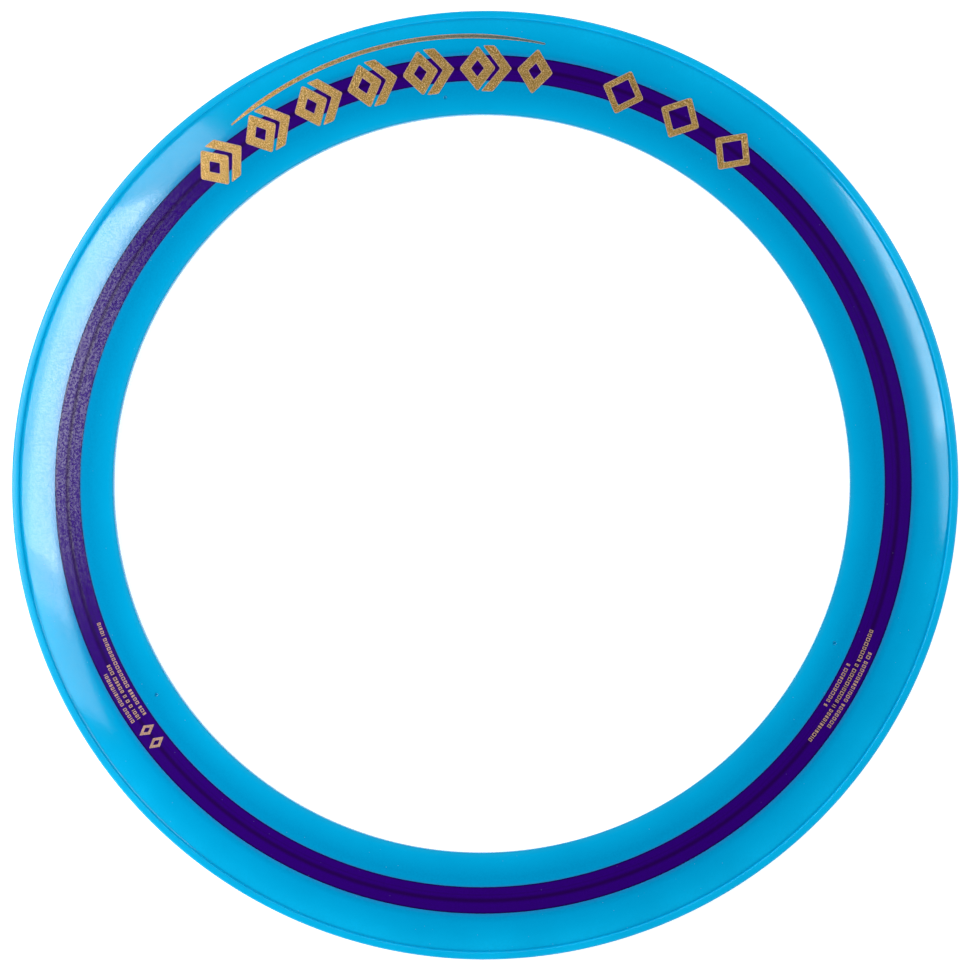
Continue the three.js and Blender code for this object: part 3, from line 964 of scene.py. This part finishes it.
class RING_OT_fine_print(bpy.types.Operator):
    """Lays the two blocks of fine dashes and a pair of tiny diamonds on the band"""

    bl_idname = "ring.fine_print"
    bl_label = "Fine print"

    tall = 1.3 * MM
    stroke = 0.3 * MM
    box_widths = (0.9 * MM, 1.05 * MM, 1.25 * MM)
    bar_widths = (stroke, 0.7 * MM)
    gaps = (0.4, 0.4, 0.4, 0.4, 1.0)  # millimetres; the wide one parts the words
    rows = (147.1 * MM, 144.7 * MM, 142.1 * MM)
    right_block = ((-23.6, -35.2), (-20.7, -38.1), (-26.2, -32.6))  # degrees, one pair per row
    left_block = ((-145.0, -153.0), (-145.0, -153.4), (-145.0, -159.6))
    symbol_angles = (-140.9, -143.1)
    symbol_size = (1.9 * MM, 3.3 * MM)  # half width and half height
    symbol_stroke = 0.9 * MM
    symbol_corner = 0.2 * MM

    def execute(self, context):
        guide = crown_guide()
        masters = [(width, self.box(width)) for width in self.box_widths]
        masters += [(width, self.bar(width)) for width in self.bar_widths]
        self.block("fine_print_right", self.right_block, (), masters, guide, 5)
        self.block("fine_print_left", self.left_block, self.symbol_angles, masters, guide, 8)
        remove(guide, *(master for _, master in masters))
        return {"FINISHED"}

    def ink(self):
        """The finish of the fine print."""
        return plain_ink("fine print", tuple(colours().fine_print))

    def rectangle(self, width, height):
        """The outline of an upright rectangle round the origin."""
        x, y = width / 2, height / 2
        return [(-x, -y), (x, -y), (x, y), (-x, y)]

    def box(self, width):
        """A small outlined box."""
        inner = self.rectangle(width - 2 * self.stroke, self.tall - 2 * self.stroke)
        return strip(self.rectangle(width, self.tall), inner, self.ink(), cuts=1)

    def bar(self, width):
        """A small upright bar."""
        corners = self.rectangle(width, self.tall)
        return strip([corners[0], corners[3]], [corners[1], corners[2]], self.ink(),
                     closed=False, cuts=2)

    def symbol(self):
        """A tiny outlined diamond."""
        outer, inner = (diamond_outline(*self.symbol_size, inset, self.symbol_corner, steps=2)
                        for inset in (0, self.symbol_stroke))
        return strip(outer, inner, self.ink(), cuts=2)

    def block(self, name, spans, symbols, masters, guide, seed):
        """One block: rows of small boxes and bars, and any symbols, joined into one piece."""
        chance = random.Random(seed)
        parts = []
        for circle, (start, end) in zip(self.rows, spans):
            along = 0.0
            room = math.radians(start - end) * circle
            while along < room:
                width, master = chance.choice(masters)
                angle = math.radians(start) - (along + width / 2) / circle
                parts.append(copy_of(master, "dash"))
                stand_on_circle(parts[-1], circle, angle)
                along += width + chance.choice(self.gaps) * MM
        for angle in symbols:
            parts.append(self.symbol())
            stand_on_circle(parts[-1], self.rows[1], math.radians(angle))
        piece = join(parts, name)
        settle(piece)
        lay_on_ring(piece, guide, sizes().foil_lift / 2, sizes().foil_thickness / 2)
        record_foil(piece)


# ---- Studio ----
FLOOR_GLOW = 0.6  # strength of the floor's own light
ROOM_GLOW = 1.75  # strength of the room's light
FLOOR_SIZE = 8
FLOOR_DROP = 0.01 * MM  # the floor is this far under the ring
CAMERA_DISTANCE = 0.6986
CAMERA_LEAN = math.radians(4.98)  # from straight above
CAMERA_TURN = math.radians(-24.07)  # the way it leans, anticlockwise from +X
CAMERA_LENS = 74.75  # mm, on a 36 mm sensor
CAMERA_SHIFT = (0.0053, -0.00056)


def look_from(place, aim, up=(0, 1, 0)):
    """Rotation of a camera or lamp at a place, looking at aim."""
    back = (Vector(place) - Vector(aim)).normalized()
    across = Vector(up).cross(back).normalized()
    above = back.cross(across)
    return Matrix((across, above, back)).transposed().to_euler()


class RING_OT_stage(bpy.types.Operator):
    """Adds the pale floor, the soft lamps, the dim room and the camera"""

    bl_idname = "ring.stage"
    bl_label = "Studio"

    left, right = (0.193, 0.981), (-0.249, 0.969)  # directions of the main softboxes' long sides
    lamps = (  # name, place, what it aims at on the floor, long side's direction, width, length, watts
        ("left softbox", (-0.367, 0.106, 0.50), (-0.13, 0.04), left, 0.145, 0.30, 0.60),
        ("left softbox centre", (-0.369, 0.106, 0.499), (-0.13, 0.04), left, 0.08, 0.30, 0.40),
        ("left high softbox", (-0.300, 0.278, 0.50), (-0.11, 0.09), (0.747, 0.665), 0.09, 0.10, 0.085),
        ("left low softbox", (-0.392, -0.105, 0.50), (-0.13, -0.04), (0, 1), 0.10, 0.15, 0.105),
        ("left middle softbox", (-0.395, -0.062, 0.50), (-0.13, -0.02), (0.1, 0.995), 0.10, 0.05, 0.047),
        ("right softbox", (0.356, 0.183, 0.50), (0.14, 0.04), right, 0.10, 0.245, 0.50),
        ("right low softbox", (0.391, 0.032, 0.50), (0.14, 0.0), right, 0.10, 0.11, 0.10),
        ("near fill", (-0.45, -0.26, 0.22), (-0.1, -0.06), (0.5, -0.866), 0.3, 0.3, 0.85),
    )

    def execute(self, context):
        self.add_floor()
        for lamp in self.lamps:
            self.add_lamp(*lamp)
        self.add_room(context)
        self.add_camera(context)
        context.scene.view_settings.view_transform = "Standard"
        return {"FINISHED"}

    def add_floor(self):
        """A wide floor, just under the ring."""
        deselect()
        bpy.ops.mesh.primitive_plane_add(size=FLOOR_SIZE, location=(0, 0, -FLOOR_DROP))
        floor = bpy.context.object
        floor.name = "studio_floor"
        settle(floor)
        floor.data.materials.append(floor_paint())

    def add_lamp(self, name, place, aim, along, width, depth, watts):
        """One rectangular softbox."""
        deselect()
        turn = look_from(place, (*aim, 0), (*along, 0))
        bpy.ops.object.light_add(type="AREA", location=place, rotation=turn)
        lamp = bpy.context.object
        lamp.name = name
        lamp.data.shape = "RECTANGLE"
        lamp.data.size, lamp.data.size_y = width, depth
        lamp.data.energy = watts

    def add_room(self, context):
        """A room that is dark overhead and pale towards the horizon."""
        world = bpy.data.worlds.new("studio room")
        world.use_nodes = True
        context.scene.world = world
        n = Nodes(world.node_tree)
        direction = n.add("ShaderNodeTexCoord").outputs["Generated"]
        height = n.add("ShaderNodeSeparateXYZ", {0: direction}).outputs["Z"]
        glow = ramp(n, n.spread(height, 0.0, 1.0), (
            (0.0, (1, 1, 1)), (0.5, (0.8, 0.8, 0.8)), (0.75, (0, 0, 0)), (1.0, (0, 0, 0))))
        background = world.node_tree.nodes["Background"]
        n.tree.links.new(glow, background.inputs["Color"])
        background.inputs["Strength"].default_value = ROOM_GLOW

    def add_camera(self, context):
        """The camera, almost straight above the ring."""
        lean = math.sin(CAMERA_LEAN)
        place = Vector((lean * math.cos(CAMERA_TURN), lean * math.sin(CAMERA_TURN),
                        math.cos(CAMERA_LEAN)))
        place *= CAMERA_DISTANCE
        deselect()
        bpy.ops.object.camera_add(location=place, rotation=look_from(place, (0, 0, 0)))
        camera = bpy.context.object
        camera.data.lens = CAMERA_LENS
        camera.data.shift_x, camera.data.shift_y = CAMERA_SHIFT
        context.scene.camera = camera


class RING_PT_panel(bpy.types.Panel):
    """Lists the ring's pieces, sizes and colours"""

    bl_idname = "RING_PT_panel"
    bl_label = "Flying Ring"
    bl_space_type = "VIEW_3D"
    bl_region_type = "UI"
    bl_category = "Flying Ring"

    def draw(self, context):
        for operator in PIECES:
            self.layout.operator(operator.bl_idname)
        for group in (context.scene.ring_sizes, context.scene.ring_colours):
            for name in group.__annotations__:
                self.layout.prop(group, name)


PIECES = (RING_OT_core, RING_OT_outer_edge, RING_OT_inner_edge, RING_OT_foil_marks,
          RING_OT_pinstripe, RING_OT_fine_print, RING_OT_stage)
CLASSES = (RingSizes, RingColours, *PIECES, RING_PT_panel)


def register():
    """Adds the classes and the scene's settings."""
    for item in CLASSES:
        bpy.utils.register_class(item)
    bpy.types.Scene.ring_sizes = PointerProperty(type=RingSizes)
    bpy.types.Scene.ring_colours = PointerProperty(type=RingColours)


def unregister():
    """Takes them away again."""
    del bpy.types.Scene.ring_colours
    del bpy.types.Scene.ring_sizes
    for item in reversed(CLASSES):
        bpy.utils.unregister_class(item)


def main():
    """Builds the ring and its studio."""
    register()
    for operator in PIECES:
        group, name = operator.bl_idname.split(".")
        getattr(getattr(bpy.ops, group), name)()


if __name__ == "__main__":
    main()
